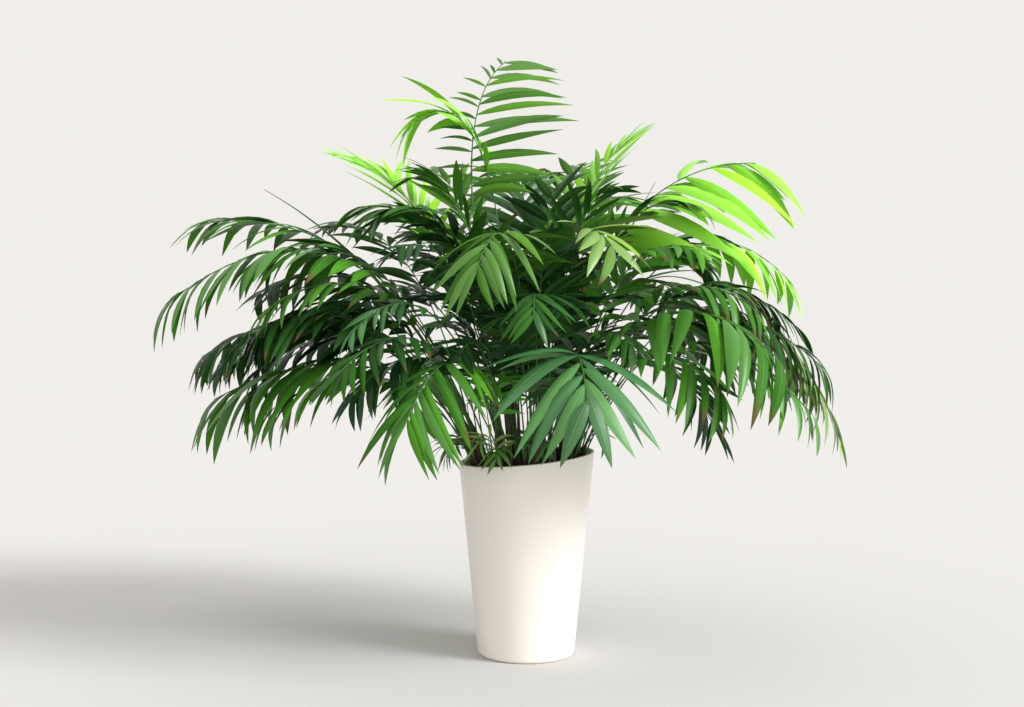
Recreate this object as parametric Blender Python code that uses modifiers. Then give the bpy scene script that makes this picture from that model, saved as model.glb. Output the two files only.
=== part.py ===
"""Parlour palm in a plain white pot: a clump of short canes, each carrying a few arching fronds.

Metres, +Z up. The origin is the centre of the pot's flat underside, and +Y is the back of the plant.
Every frond is a petiole and rib on one bent line, with leaflets in pairs fused to it. Run it with
blender --background --python part.py, or from Blender's text editor.
"""
import math
import random
from typing import NamedTuple

import bmesh
import bpy
from mathutils import Vector
from mathutils.bvhtree import BVHTree

GAP = 0.0003  # clearance that touching pieces keep

# Pot: a straight-sided cone whose rim is cut on a slant
POT_HEIGHT = 0.2515
POT_RIM_RADIUS = 0.0865
POT_FOOT_RADIUS = 0.0615
POT_WALL = 0.0045
POT_FLOOR = 0.005
POT_FOOT_ROUND = 0.005
RIM_ROUND = 0.0012
RIM_SLOPE = Vector((0.089, 0.055, 0.0))  # rise of the rim for each metre along X and Y
ROUND_STEPS = 3
SIDES = 48
SOIL_TOP = 0.232

# Canes: an outer ring, and an inner ring of taller ones
OUTER_CANES = 9
OUTER_RING = 0.064
OUTER_TOP = 0.264
INNER_CANES = 4
INNER_RING = 0.026
INNER_TOP = 0.302
TOP_SPREAD = 0.007
CANE_FOOT_RADIUS = 0.0058
CANE_TOP_RADIUS = 0.0052
CANE_SIDES = 10
CANE_TURN = 40.0  # degrees between outer canes

# Petioles and ribs
FOOT_RING = 0.0032  # distance of a petiole's foot from the cane's axis, where several share it
FOOT_RADIUS = 0.0019
RIB_RADIUS = 0.0018
TIP_RADIUS = 0.0009
SPEAR_RADIUS = 0.0022
BARE_STEPS = 3
LEAFY_STEPS = 6

# Leaflets
ROOT_HALF = 0.38  # a leaflet's root section, as shares of the rib's radius there
ROOT_HALF_MOST = 1.1
ROOT_DEPTH = 0.42
FULLER = 1.2  # widening that makes up for leaflets being fewer than on a real frond
DEPTH_SHARE = 1 / 80  # a leaflet's thickness at its midrib, as a share of its length
WIDEST = 0.42  # share of a leaflet's length at which it is widest
CLOSING = 42.0  # how far the leaflets close up towards the rib's tip, in degrees
CLEAR = 0.0004  # extra half thickness that a leaflet is tried with
# Share of hang, extra lift in degrees and share of length that a leaflet tries in turn
TRIES = ((1.0, 0, 1.0), (1.35, -4, 1.0), (0.6, 8, 1.0), (1.7, -8, 0.9), (0.3, 16, 0.85), (1.0, 0, 0.65))

COLOURS = {
    "pot": ((0.865, 0.810, 0.755), 0.30),
    "soil": ((0.036, 0.025, 0.018), 0.95),
    "cane": ((0.026, 0.050, 0.014), 0.55),
    "deep": ((0.005, 0.050, 0.009), 0.45),
    "dark": ((0.018, 0.094, 0.012), 0.45),
    "mid": ((0.050, 0.200, 0.014), 0.42),
    "fresh": ((0.066, 0.195, 0.018), 0.40),
    "lime": ((0.290, 0.760, 0.042), 0.38),
    "blue": ((0.060, 0.200, 0.058), 0.40),
    "olive": ((0.180, 0.330, 0.070), 0.48),
}


class Frond(NamedTuple):
    """One frond: lengths in metres, angles in degrees, places as shares."""
    name: str
    cane: int
    azimuth: float
    reach: float  # from the cane's axis to the rib's tip, level
    tip_z: float
    knee: float  # where the line bends, as a share of the reach
    knee_z: float
    bare: float  # share of the line below the first leaflets
    pairs: int
    leaf: float  # length of the longest leaflets
    width: float
    hang: float  # how strongly leaflets bend down
    tint: str
    sway: float = 0.0  # how far the bend lies to the left of the azimuth
    splay: float = 70.0  # angle between the lowest leaflets and the rib
    raise_left: float = 0.0  # extra lift of the leaflets to the left of the azimuth
    left_size: float = 1.0  # their length and width against those on the right
    drop_right: float = 0.0  # extra drop of the leaflets to the right of the azimuth


FRONDS = (
    Frond("top", 11, 94, 0.10, 0.780, 0.30, 0.69, 0.56, 8, 0.135, 0.014, 1.0, "fresh", 0.10, 92, -10, 0.4),
    Frond("top_left", 10, 176, 0.125, 0.690, 0.05, 0.76, 0.68, 7, 0.120, 0.017, 2.0, "lime", 0.0, 60),
    Frond("far_left_pale", 3, 147, 0.24, 0.665, 0.25, 0.56, 0.55, 7, 0.130, 0.016, 0.6, "lime", 0.0, 55),
    Frond("left_upper_dark", 11, 206, 0.18, 0.55, 0.25, 0.60, 0.50, 8, 0.110, 0.019, 1.3, "dark"),
    Frond("left_top", 4, 174, 0.37, 0.56, 0.30, 0.58, 0.50, 8, 0.115, 0.016, 1.5, "mid"),
    Frond("left_mid", 5, 192, 0.38, 0.44, 0.36, 0.64, 0.48, 9, 0.125, 0.019, 1.8, "mid"),
    Frond("left_dark", 4, 166, 0.40, 0.38, 0.35, 0.53, 0.45, 8, 0.115, 0.019, 1.8, "dark"),
    Frond("left_low", 5, 183, 0.33, 0.325, 0.36, 0.44, 0.45, 9, 0.155, 0.025, 1.7, "mid"),
    Frond("front_left", 6, 241, 0.21, 0.300, 0.50, 0.455, 0.46, 7, 0.125, 0.016, 1.5, "mid"),
    Frond("front_right", 8, 274, 0.205, 0.325, 0.35, 0.460, 0.44, 7, 0.140, 0.020, 1.2, "blue"),
    Frond("front_centre", 7, 250, 0.20, 0.465, 0.30, 0.63, 0.55, 7, 0.105, 0.014, 1.5, "fresh"),
    Frond("right_bright", 12, 356, 0.27, 0.62, 0.30, 0.63, 0.48, 8, 0.165, 0.027, 1.2, "lime",
          splay=72, drop_right=45),
    Frond("right_second", 1, 13, 0.33, 0.48, 0.45, 0.66, 0.55, 8, 0.105, 0.021, 1.6, "lime",
          splay=70, drop_right=20),
    Frond("right_long", 0, 357, 0.33, 0.29, 0.48, 0.66, 0.50, 10, 0.100, 0.013, 1.6, "olive"),
    Frond("right_front", 8, 326, 0.28, 0.37, 0.40, 0.53, 0.42, 8, 0.145, 0.020, 2.6, "mid"),
    Frond("right_low_back", 1, 28, 0.25, 0.28, 0.45, 0.50, 0.50, 8, 0.100, 0.014, 1.3, "deep"),
    Frond("top_right", 9, 24, 0.120, 0.665, 0.20, 0.56, 0.52, 8, 0.105, 0.014, 0.8, "lime"),
    Frond("top_right_back", 2, 61, 0.17, 0.665, 0.25, 0.60, 0.50, 8, 0.100, 0.016, 0.7, "fresh"),
    Frond("centre_dark", 9, 53, 0.03, 0.600, 0.20, 0.55, 0.50, 8, 0.100, 0.015, 1.0, "deep", 0, 80),
    Frond("right_inner_pale", 12, 295, 0.18, 0.50, 0.35, 0.60, 0.55, 6, 0.100, 0.017, 1.0, "olive"),
    Frond("left_small", 6, 216, 0.21, 0.40, 0.45, 0.52, 0.50, 7, 0.055, 0.011, 1.3, "blue"),
    Frond("right_inner_dark", 0, 6, 0.18, 0.49, 0.35, 0.60, 0.48, 8, 0.100, 0.018, 1.5, "dark"),
    Frond("back_left_high", 10, 122, 0.28, 0.60, 0.25, 0.62, 0.50, 8, 0.105, 0.017, 1.2, "mid"),
    Frond("back_left_mid", 3, 142, 0.34, 0.42, 0.38, 0.60, 0.48, 8, 0.105, 0.017, 1.6, "dark"),
    Frond("back_left_low", 3, 118, 0.31, 0.29, 0.42, 0.50, 0.46, 8, 0.110, 0.018, 1.7, "mid"),
    Frond("back_high", 10, 88, 0.25, 0.66, 0.22, 0.66, 0.50, 8, 0.105, 0.017, 1.0, "mid"),
    Frond("back_mid", 2, 96, 0.35, 0.46, 0.36, 0.62, 0.48, 8, 0.105, 0.018, 1.6, "fresh"),
    Frond("back_low", 2, 78, 0.31, 0.30, 0.42, 0.50, 0.46, 8, 0.105, 0.017, 1.7, "dark"),
    Frond("back_right_high", 9, 60, 0.27, 0.62, 0.24, 0.62, 0.50, 8, 0.100, 0.016, 1.1, "mid"),
    Frond("back_right_mid", 1, 50, 0.34, 0.44, 0.38, 0.60, 0.48, 8, 0.105, 0.018, 1.6, "mid"),
    Frond("front_mid_dark", 7, 268, 0.17, 0.42, 0.35, 0.52, 0.46, 7, 0.090, 0.017, 1.3, "dark"),
    Frond("front_left_inner", 6, 228, 0.17, 0.50, 0.30, 0.54, 0.46, 7, 0.090, 0.017, 1.2, "deep"),
    Frond("front_right_inner", 8, 318, 0.19, 0.50, 0.30, 0.54, 0.46, 7, 0.095, 0.018, 1.2, "mid"),
    Frond("centre_left", 11, 190, 0.10, 0.54, 0.30, 0.50, 0.42, 7, 0.090, 0.018, 0.9, "deep", 0, 80),
    Frond("centre_back", 9, 105, 0.09, 0.620, 0.30, 0.50, 0.42, 8, 0.095, 0.015, 1.0, "dark", 0, 80),
    Frond("centre_front", 12, 262, 0.10, 0.50, 0.30, 0.48, 0.42, 7, 0.090, 0.017, 0.9, "dark", 0, 75),
    Frond("spear_left", 4, 165, 0.31, 0.61, 0.35, 0.50, 0.4, 0, 0.0, 0.0, 0.0, "dark"),
    Frond("spear_right", 9, 27, 0.18, 0.62, 0.45, 0.46, 0.4, 0, 0.0, 0.0, 0.0, "dark"),
    Frond("spear_back", 3, 128, 0.20, 0.56, 0.40, 0.44, 0.4, 0, 0.0, 0.0, 0.0, "mid"),
)

UP = Vector((0.0, 0.0, 1.0))


def flat_direction(degrees):
    """Unit vector in the level plane at an angle from +X."""
    angle = math.radians(degrees)
    return Vector((math.cos(angle), math.sin(angle), 0.0))


def clear_scene():
    for old in list(bpy.data.objects):
        bpy.data.objects.remove(old, do_unlink=True)


def material(name):
    """Principled material of one of the named colours, made once."""
    if name in bpy.data.materials:
        return bpy.data.materials[name]
    colour, roughness = COLOURS[name]
    made = bpy.data.materials.new(name)
    made.use_nodes = True
    shader = made.node_tree.nodes["Principled BSDF"]
    shader.inputs["Base Color"].default_value = (*colour, 1.0)
    shader.inputs["Roughness"].default_value = roughness
    made.diffuse_color = (*colour, 1.0)
    return made


def add_object(name, mesh, collection, finish):
    made = bpy.data.objects.new(name, mesh)
    collection.objects.link(made)
    mesh.materials.clear()
    mesh.materials.append(material(finish))
    return made


def applied_mesh(source):
    """Mesh of an object with its modifiers carried out."""
    evaluated = source.evaluated_get(bpy.context.evaluated_depsgraph_get())
    return bpy.data.meshes.new_from_object(evaluated)


def pot_radius(z):
    """Outer radius of the pot's side at a height."""
    return POT_FOOT_RADIUS + (POT_RIM_RADIUS - POT_FOOT_RADIUS) * z / POT_HEIGHT


def arc(centre, radius, start, end, steps):
    """Points of an arc in the profile plane, angles in degrees from +X."""
    for step in range(steps + 1):
        angle = math.radians(start + (end - start) * step / steps)
        yield (centre[0] + radius * math.cos(angle), centre[1] + radius * math.sin(angle))


def pot_profile():
    """Half section of the upright pot, from the inner floor over the rim to the underside."""
    inner_foot = pot_radius(POT_FLOOR) - POT_WALL
    rim_z = POT_HEIGHT - RIM_ROUND
    foot_centre = (pot_radius(POT_FOOT_ROUND) - POT_FOOT_ROUND, POT_FOOT_ROUND)
    points = [(0.0, POT_FLOOR), (inner_foot, POT_FLOOR)]
    points += arc((pot_radius(rim_z) - POT_WALL + RIM_ROUND, rim_z), RIM_ROUND, 180, 90, ROUND_STEPS)
    points += arc((pot_radius(rim_z) - RIM_ROUND, rim_z), RIM_ROUND, 90, 0, ROUND_STEPS)
    points += arc(foot_centre, POT_FOOT_ROUND, 0, -90, ROUND_STEPS)
    points.append((0.0, 0.0))
    return points


def slant_rim(mesh):
    """Slides the rim's points along the straight sides, until the rim lies on the slanted plane."""
    taper = (POT_RIM_RADIUS - POT_FOOT_RADIUS) / POT_HEIGHT
    for vertex in mesh.vertices:
        if vertex.co.z < POT_HEIGHT / 2:
            continue
        level = Vector((vertex.co.x, vertex.co.y, 0.0))
        rise = level.dot(RIM_SLOPE)
        vertex.co += UP * rise + level.normalized() * taper * rise


def make_pot(collection):
    points = pot_profile()
    outline = bpy.data.meshes.new("pot_profile")
    outline.from_pydata([(r, 0.0, z) for r, z in points], [(i, i + 1) for i in range(len(points) - 1)], [])
    turned = bpy.data.objects.new("pot_turned", outline)
    collection.objects.link(turned)
    screw = turned.modifiers.new("turn", "SCREW")
    screw.steps = SIDES
    screw.render_steps = SIDES
    screw.use_merge_vertices = True
    screw.merge_threshold = 0.00001
    bpy.context.view_layer.update()
    mesh = applied_mesh(turned)
    bpy.data.objects.remove(turned)
    slant_rim(mesh)
    add_object("pot", mesh, collection, "pot")
    mesh.shade_smooth()
    mesh.set_sharp_from_angle(angle=math.radians(40))


def make_cone(name, collection, finish, sides, low, high, low_radius, high_radius):
    """Closed cone frustum between two level centres, which may be out of line."""
    shape = bmesh.new()
    bmesh.ops.create_cone(shape, cap_ends=True, segments=sides, radius1=low_radius,
                          radius2=high_radius, depth=high.z - low.z)
    middle = (low.z + high.z) / 2
    for vertex in shape.verts:
        centre = high if vertex.co.z > 0 else low
        vertex.co += Vector((centre.x, centre.y, middle))
    mesh = bpy.data.meshes.new(name)
    shape.to_mesh(mesh)
    shape.free()
    return add_object(name, mesh, collection, finish)


def make_soil(collection):
    """Soil that fills the pot, clear of the flats of its faceted wall."""
    flat = math.cos(math.pi / SIDES)
    low_z = POT_FLOOR + GAP
    low_radius = (pot_radius(low_z) - POT_WALL) * flat - GAP
    top_radius = (pot_radius(SOIL_TOP) - POT_WALL) * flat - GAP
    low = Vector((0.0, 0.0, low_z))
    top = Vector((0.0, 0.0, SOIL_TOP))
    return make_cone("soil", collection, "soil", SIDES, low, top, low_radius, top_radius)


def cane_places():
    """Centre of each cane's flat top, outer ring first."""
    places = []
    for number in range(OUTER_CANES):
        top = OUTER_TOP + TOP_SPREAD * math.sin(2.4 * number)
        places.append(flat_direction(CANE_TURN * number) * OUTER_RING + UP * top)
    for number in range(INNER_CANES):
        top = INNER_TOP + TOP_SPREAD * math.sin(2.4 * number)
        places.append(flat_direction(45 + 90 * number) * INNER_RING + UP * top)
    return places


def make_canes(collection, places):
    canes = []
    for number, top in enumerate(places):
        foot = Vector((0.94 * top.x, 0.94 * top.y, SOIL_TOP + GAP))
        name = f"cane_{number + 1:02d}"
        canes.append(make_cone(name, collection, "cane", CANE_SIDES, foot, top,
                               CANE_FOOT_RADIUS, CANE_TOP_RADIUS))
    return canes


class Rib:
    """A frond's line: it leaves its foot towards the knee and reaches the tip coming from the knee."""

    def __init__(self, frond, foot, cane):
        out = flat_direction(frond.azimuth)
        left = flat_direction(frond.azimuth + 90)
        axis = Vector((cane.x, cane.y, 0.0))
        self.right = -left
        self.foot = foot
        self.knee = axis + out * frond.reach * frond.knee + left * frond.sway + UP * frond.knee_z
        self.tip = axis + out * frond.reach + UP * frond.tip_z
        self.shares = [frond.bare * i / BARE_STEPS for i in range(BARE_STEPS)]
        self.shares += [frond.bare + (1 - frond.bare) * i / LEAFY_STEPS for i in range(LEAFY_STEPS + 1)]
        self.corners = [self.point(self.at_share(share)) for share in self.shares]

    def point(self, t):
        return (1 - t) ** 2 * self.foot + 2 * t * (1 - t) * self.knee + t * t * self.tip

    def slope(self, t):
        return ((1 - t) * (self.knee - self.foot) + t * (self.tip - self.knee)).normalized()

    def frame(self, share):
        """Directions at a share of the length: along the line, to its right, and out of its upper side."""
        along = self.slope(self.at_share(share))
        side = (self.right - along * along.dot(self.right)).normalized()
        return along, side, side.cross(along)

    def at_share(self, share, steps=200):
        """Parameter at which this share of the line's length is passed."""
        points = [self.point(i / steps) for i in range(steps + 1)]
        lengths = [(b - a).length for a, b in zip(points, points[1:])]
        left = share * sum(lengths)
        for i, length in enumerate(lengths):
            if left <= length:
                return (i + left / length) / steps
            left -= length
        return 1.0

    def on_chord(self, share):
        """Point at a share of the length on the straight runs between the rib's rings."""
        for i in range(1, len(self.shares)):
            if share <= self.shares[i] and self.shares[i] > self.shares[i - 1]:
                part = (share - self.shares[i - 1]) / (self.shares[i] - self.shares[i - 1])
                return self.corners[i - 1].lerp(self.corners[i], part)
        return self.tip


def frond_ribs(places):
    """Rib of each frond. Petioles that share a cane stand evenly round its axis, in azimuth order."""
    ribs = {}
    for number, cane in enumerate(places):
        mine = sorted((f for f in FRONDS if f.cane == number), key=lambda f: f.azimuth)
        turn = 360 / len(mine)
        offsets = [flat_direction(f.azimuth - turn * i) for i, f in enumerate(mine)]
        mean = sum(offsets, Vector((0.0, 0.0, 0.0)))
        start = math.degrees(math.atan2(mean.y, mean.x))
        for i, frond in enumerate(mine):
            foot = cane + flat_direction(start + turn * i) * FOOT_RING + UP * GAP
            ribs[frond.name] = Rib(frond, foot, cane)
    return ribs


def loft(rings):
    """Points and faces of a closed skin over three-sided rings. The last ring may be one point."""
    points = [tuple(p) for ring in rings for p in ring]
    faces = [(2, 1, 0)]
    for i in range(len(rings) - 1):
        a = 3 * i
        for j in range(3):
            k = (j + 1) % 3
            if len(rings[i + 1]) == 1:
                faces.append((a + j, a + k, a + 3))
            elif j == 2:
                faces.append((a + j, a + k, a + 3 + k, a + 3 + j))
            else:
                faces.append((a + j, a + k, a + 3 + k))
                faces.append((a + j, a + 3 + k, a + 3 + j))
    if len(rings[-1]) == 3:
        last = 3 * (len(rings) - 1)
        faces.append((last, last + 1, last + 2))
    return points, faces


def rib_radius(frond, share):
    """Radius along a frond's line, from its foot to its first leaflets and on to its tip."""
    if frond.pairs == 0:
        return FOOT_RADIUS + (SPEAR_RADIUS - FOOT_RADIUS) * math.sin(math.pi * share) ** 2 - 0.0012 * share
    if share < frond.bare:
        return FOOT_RADIUS + (RIB_RADIUS - FOOT_RADIUS) * share / frond.bare
    return RIB_RADIUS + (TIP_RADIUS - RIB_RADIUS) * (share - frond.bare) / (1 - frond.bare)


def rib_skin(frond, rib):
    """Three-sided petiole and rib with its ridge above, level at its foot."""
    rings = []
    for share, centre in zip(rib.shares, rib.corners):
        along, side, normal = rib.frame(share)
        if share == 0:
            side = Vector((side.x, side.y, 0.0)).normalized()
            normal = side.cross(UP)
        radius = rib_radius(frond, share)
        ring = []
        for corner in (90, 210, 330):
            angle = math.radians(corner)
            ring.append(centre + side * radius * math.cos(angle) + normal * radius * math.sin(angle))
        rings.append(ring)
    return loft([ring[::-1] for ring in rings])


class Leaflet(NamedTuple):
    """Where a leaflet leaves its rib, and how it grows."""
    root: Vector
    start: Vector
    across: Vector
    length: float
    half_width: float
    hang: float
    root_half: float
    root_depth: float


def length_share(place):
    """Length of a leaflet against the longest, by its place from the lowest pair to the tip."""
    return 0.55 + 0.45 * math.sin(math.pi * place ** 0.8)


def leaflets(frond, rib, attempt):
    """Leaflets of a frond, side by side along its rib. The draws don't depend on the attempt."""
    chance = random.Random(frond.name)
    more_hang, more_lift, more_length = attempt
    for side_sign in (-1, 1):
        size = frond.left_size if side_sign < 0 else 1.0
        raised = frond.raise_left if side_sign < 0 else -frond.drop_right
        for number in range(frond.pairs):
            place = (number + 0.5) / frond.pairs
            share = frond.bare + (1 - frond.bare) * (place + 0.22 * side_sign / frond.pairs)
            along, side, normal = rib.frame(share)
            opening = math.radians(frond.splay - CLOSING * place + chance.uniform(-5, 5))
            lift = math.radians(18 - 10 * place + chance.uniform(-5, 5) + raised + more_lift)
            length = frond.leaf * size * length_share(place) * chance.uniform(0.93, 1.05) * more_length
            hang = frond.hang * chance.uniform(0.85, 1.15) * more_hang
            outward = side * side_sign * math.cos(lift) + normal * math.sin(lift)
            start = along * math.cos(opening) + outward * math.sin(opening)
            across = (along - start * along.dot(start)).normalized()
            half_width = 0.5 * FULLER * size * frond.width * (0.75 + 0.25 * length_share(place))
            radius = rib_radius(frond, share)
            root_half = radius * min(ROOT_HALF / abs(math.cos(opening)), ROOT_HALF_MOST)
            yield Leaflet(rib.on_chord(share), start, across, length, half_width, hang,
                          root_half, radius * ROOT_DEPTH)


def leaflet_skin(leaflet, grow=0.0):
    """Three-sided blade from its root on the rib to its widest ring and a pointed tip, bent down."""
    face = leaflet.start.cross(leaflet.across)
    bend = (face * -face.z + leaflet.across * -0.25 * leaflet.across.z) * leaflet.hang

    def heading(share):
        return (leaflet.start + bend * share ** 0.9).normalized()

    middle = heading(WIDEST)
    across = (leaflet.across - middle * leaflet.across.dot(middle)).normalized()
    down = across.cross(middle)
    if down.z > 0:
        down = -down
    centre = leaflet.root + heading(WIDEST / 2) * leaflet.length * WIDEST
    tip = centre + heading((1 + WIDEST) / 2) * (leaflet.length * (1 - WIDEST) + grow)
    depth = leaflet.length * DEPTH_SHARE

    def ring(place, half, thick):
        keel = place + down * (thick + grow)
        top = place - down * grow
        corners = [top + across * (half + grow), keel, top - across * (half + grow)]
        return corners if across.cross(middle).dot(down) < 0 else corners[::-1]

    root = ring(leaflet.root, leaflet.root_half, leaflet.root_depth)
    return loft([root, ring(centre, leaflet.half_width, depth), [tip]])


def tree_of(skins):
    """Search tree over several skins."""
    points, faces = [], []
    for more_points, more_faces in skins:
        base = len(points)
        points += more_points
        faces += [tuple(base + i for i in face) for face in more_faces]
    return BVHTree.FromPolygons(points, faces)


def skin_of(source):
    mesh = source.data
    return [tuple(v.co) for v in mesh.vertices], [tuple(p.vertices) for p in mesh.polygons]


def fitted_leaflets(frond, rib, obstacles):
    """Skins of the leaflets that find room, each in the first attitude that touches nothing."""
    attempts = [list(leaflets(frond, rib, attempt)) for attempt in TRIES]
    for choices in zip(*attempts):
        for leaflet in choices:
            if not tree_of([leaflet_skin(leaflet, CLEAR)]).overlap(obstacles):
                yield leaflet_skin(leaflet)
                break


def mesh_from(name, skin):
    mesh = bpy.data.meshes.new(name)
    mesh.from_pydata(skin[0], [], skin[1])
    return mesh


def fuse(name, body, others, collection, finish):
    """One object from a skin and others that it overlaps, joined by one Boolean union."""
    made = add_object(name, mesh_from(name, body), collection, finish)
    if not others:
        return made
    group = bpy.data.collections.new(f"{name}_leaflets")
    bpy.context.scene.collection.children.link(group)
    for number, skin in enumerate(others):
        add_object(f"{name}_leaflet_{number}", mesh_from("leaflet", skin), group, finish)
    union = made.modifiers.new("fuse", "BOOLEAN")
    union.operation = "UNION"
    union.operand_type = "COLLECTION"
    union.collection = group
    bpy.context.view_layer.update()
    fused = applied_mesh(made)
    made.modifiers.clear()
    made.data = fused
    for leaflet in list(group.objects):
        bpy.data.objects.remove(leaflet)
    bpy.data.collections.remove(group)
    return made


def make_fronds(collection, places, standing):
    """Every frond in turn. Each keeps clear of all the ribs and of the fronds made before it."""
    ribs = frond_ribs(places)
    rib_skins = {frond.name: rib_skin(frond, ribs[frond.name]) for frond in FRONDS}
    fixed = [skin_of(piece) for piece in standing]
    grown = []
    for frond in FRONDS:
        others = [skin for name, skin in rib_skins.items() if name != frond.name]
        obstacles = tree_of(fixed + others + grown)
        blades = list(fitted_leaflets(frond, ribs[frond.name], obstacles))
        fuse(frond.name, rib_skins[frond.name], blades, collection, frond.tint)
        grown += blades


def main():
    clear_scene()
    palm = bpy.data.collections.new("parlour_palm")
    bpy.context.scene.collection.children.link(palm)
    make_pot(palm)
    soil = make_soil(palm)
    places = cane_places()
    canes = make_canes(palm, places)
    pot = palm.objects["pot"]
    make_fronds(palm, places, [pot, soil, *canes])


main()
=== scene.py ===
"""Parlour palm in a plain white pot: the finish of every surface, and a studio to see it in.

Every shape is a grid of points worked out as whole arrays: a section carried along a path, or a
profile turned about the pot's axis. Metres, +Z up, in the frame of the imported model.
"""
import math
from itertools import combinations
from typing import NamedTuple

import bpy
import numpy as np
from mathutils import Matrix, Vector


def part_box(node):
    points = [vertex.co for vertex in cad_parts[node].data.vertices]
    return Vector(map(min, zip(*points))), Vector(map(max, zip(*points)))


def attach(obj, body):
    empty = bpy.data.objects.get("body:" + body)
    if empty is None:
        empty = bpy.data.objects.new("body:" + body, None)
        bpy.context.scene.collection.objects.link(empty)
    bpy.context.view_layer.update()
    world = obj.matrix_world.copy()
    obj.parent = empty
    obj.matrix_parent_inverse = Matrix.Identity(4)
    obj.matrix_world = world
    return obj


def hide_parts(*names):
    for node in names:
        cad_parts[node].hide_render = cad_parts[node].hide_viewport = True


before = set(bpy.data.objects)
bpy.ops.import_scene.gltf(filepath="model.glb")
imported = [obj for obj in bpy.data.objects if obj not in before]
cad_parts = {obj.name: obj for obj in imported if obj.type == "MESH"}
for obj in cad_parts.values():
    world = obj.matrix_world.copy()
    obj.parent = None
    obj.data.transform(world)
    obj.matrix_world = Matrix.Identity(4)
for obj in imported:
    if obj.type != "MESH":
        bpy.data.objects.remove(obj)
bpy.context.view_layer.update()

bl_info = {
    "name": "Potted Parlour Palm",
    "version": (1, 0, 0),
    "blender": (4, 5, 0),
    "location": "View3D > Sidebar > Palm",
    "description": "Builds a potted parlour palm round its packed solids, with a small studio",
    "category": "Add Mesh",
}

GRAIN_MAP = "grain"  # UV map of a leaflet: across it, then along it
DRY_TIP = (0.118, 0.072, 0.028)
PALE_GREEN = (0.35, 0.55, 0.16)
LEAF_GLOSS, BLUE_GLOSS = 0.12, 0.5
DRYING = {"olive": 1.7, "mid": 1.5, "dark": 1.3}  # six times the share of its length that browns
# Shares of the leaflets that take a tint's plain, lighter and darker shade
OPEN_SHADES, INNER_SHADES = (0.5, 0.25, 0.25), (0.5, 0.2, 0.3)

# Pot
FOOT_ROUND = 0.005
RIM_ROUND = 0.0012
FLOOR_THICKNESS = 0.005
RIM_SLOPE = np.array((0.089, 0.055))  # rise of the rim for each metre along X and Y
SOIL_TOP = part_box("soil")[1].z
SOIL_GAP = 0.0002  # between the soil and the wall
CRUMBS, CHIPS, STUBS = 460, 90, 34
CRUMB_SIZE, CHIP_SIZE = (0.0009, 0.0026), (0.0025, 0.0058)  # smallest and largest half length
STUB_REACH = 0.066  # farthest stub from the pot's axis

# Canes, in an outer ring and an inner ring of taller ones, and petioles
OUTER_CANES = 9
OUTER_RING = 0.064
OUTER_TOP = 0.264
INNER_CANES = 4
INNER_RING = 0.026
INNER_TOP = 0.302
TOP_SPREAD = 0.007
CANE_FOOT = 0.94  # distance of a cane's foot from the pot's axis, against its top's
SOIL_FOOT = 0.90  # the same for the foot of a petiole that comes out of the soil
BESIDE_CANE = 0.010  # and how far aside of that it stands
SCAR_STEP = 0.0105  # from one old leaf scar to the next
# A husk's wall, up its outside and down its inside: shares of its height, and distances out from
# the cane
HUSK_WALL = np.array(((0.0, 0.35, 0.7, 1.0, 1.0, 0.7, 0.35, 0.0),
                      (0.0012, 0.0014, 0.002, 0.003, 0.0027, 0.0016, 0.001, 0.0008)))[..., None]
FOOT_RING = 0.0032  # distance of a petiole's foot from the cane's axis, where several share it
FOOT_GAP = 0.0003  # between a cane's top and a petiole's foot
SHEATH, SMALL_SHEATH, STUB_SHEATH = 0.0024, 0.0008, 0.0006  # how much wider a petiole's foot is
SHEATH_HEIGHT = 0.042
DRY_HEIGHT = 0.020  # of the brown foot

# Leaflets
CLOSING = 42.0  # how far the leaflets close up towards the rib's tip, in degrees
STATIONS = np.array((0.0, 0.04, 0.12, 0.24, 0.38, 0.53, 0.68, 0.82, 0.93, 1.0))
WIDEST = 0.4  # share of a leaflet's length at which it is widest
# A leaflet's section: places across it from -1 to 1, over its upper face and back under it
ACROSS = np.array((-1.0, -0.5, 0.0, 0.5, 1.0, 0.0))

# Studio, with the camera's focal length and rise in pixels of the photograph
LIGHT_PARTS = ("power", "height", "side", "spread")
FLOOR_REACH = 60.0  # half the floor's side
EYE = (-0.018, -1.455, 0.363)
SENSOR = 36.0
PHOTO_WIDTH = 1024.0
FOCAL_PIXELS = 1135.0
RISE_PIXELS = 15.5


class Frond(NamedTuple):
    """One frond: lengths in metres, angles in degrees, places as shares. A spear has no leaflets."""
    name: str
    tint: str
    cane: int
    azimuth: float
    reach: float  # from the cane's axis to the rib's tip, level
    tip_z: float
    knee: float  # where the line bends, as a share of the reach
    knee_z: float
    bare: float = 0.0  # share of the line below the first leaflets
    leaf: float = 0.0  # length of the longest leaflets
    width: float = 0.0
    hang: float = 0.0  # how strongly leaflets bend down
    sway: float = 0.0  # how far the bend lies to the left of the azimuth
    splay: float = 70.0  # angle between the lowest leaflets and the rib
    raise_left: float = 0.0  # extra lift of the leaflets to the left of the azimuth
    left_size: float = 1.0  # their length and width against those on the right
    drop_right: float = 0.0  # extra drop of the leaflets to the right of the azimuth


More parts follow.
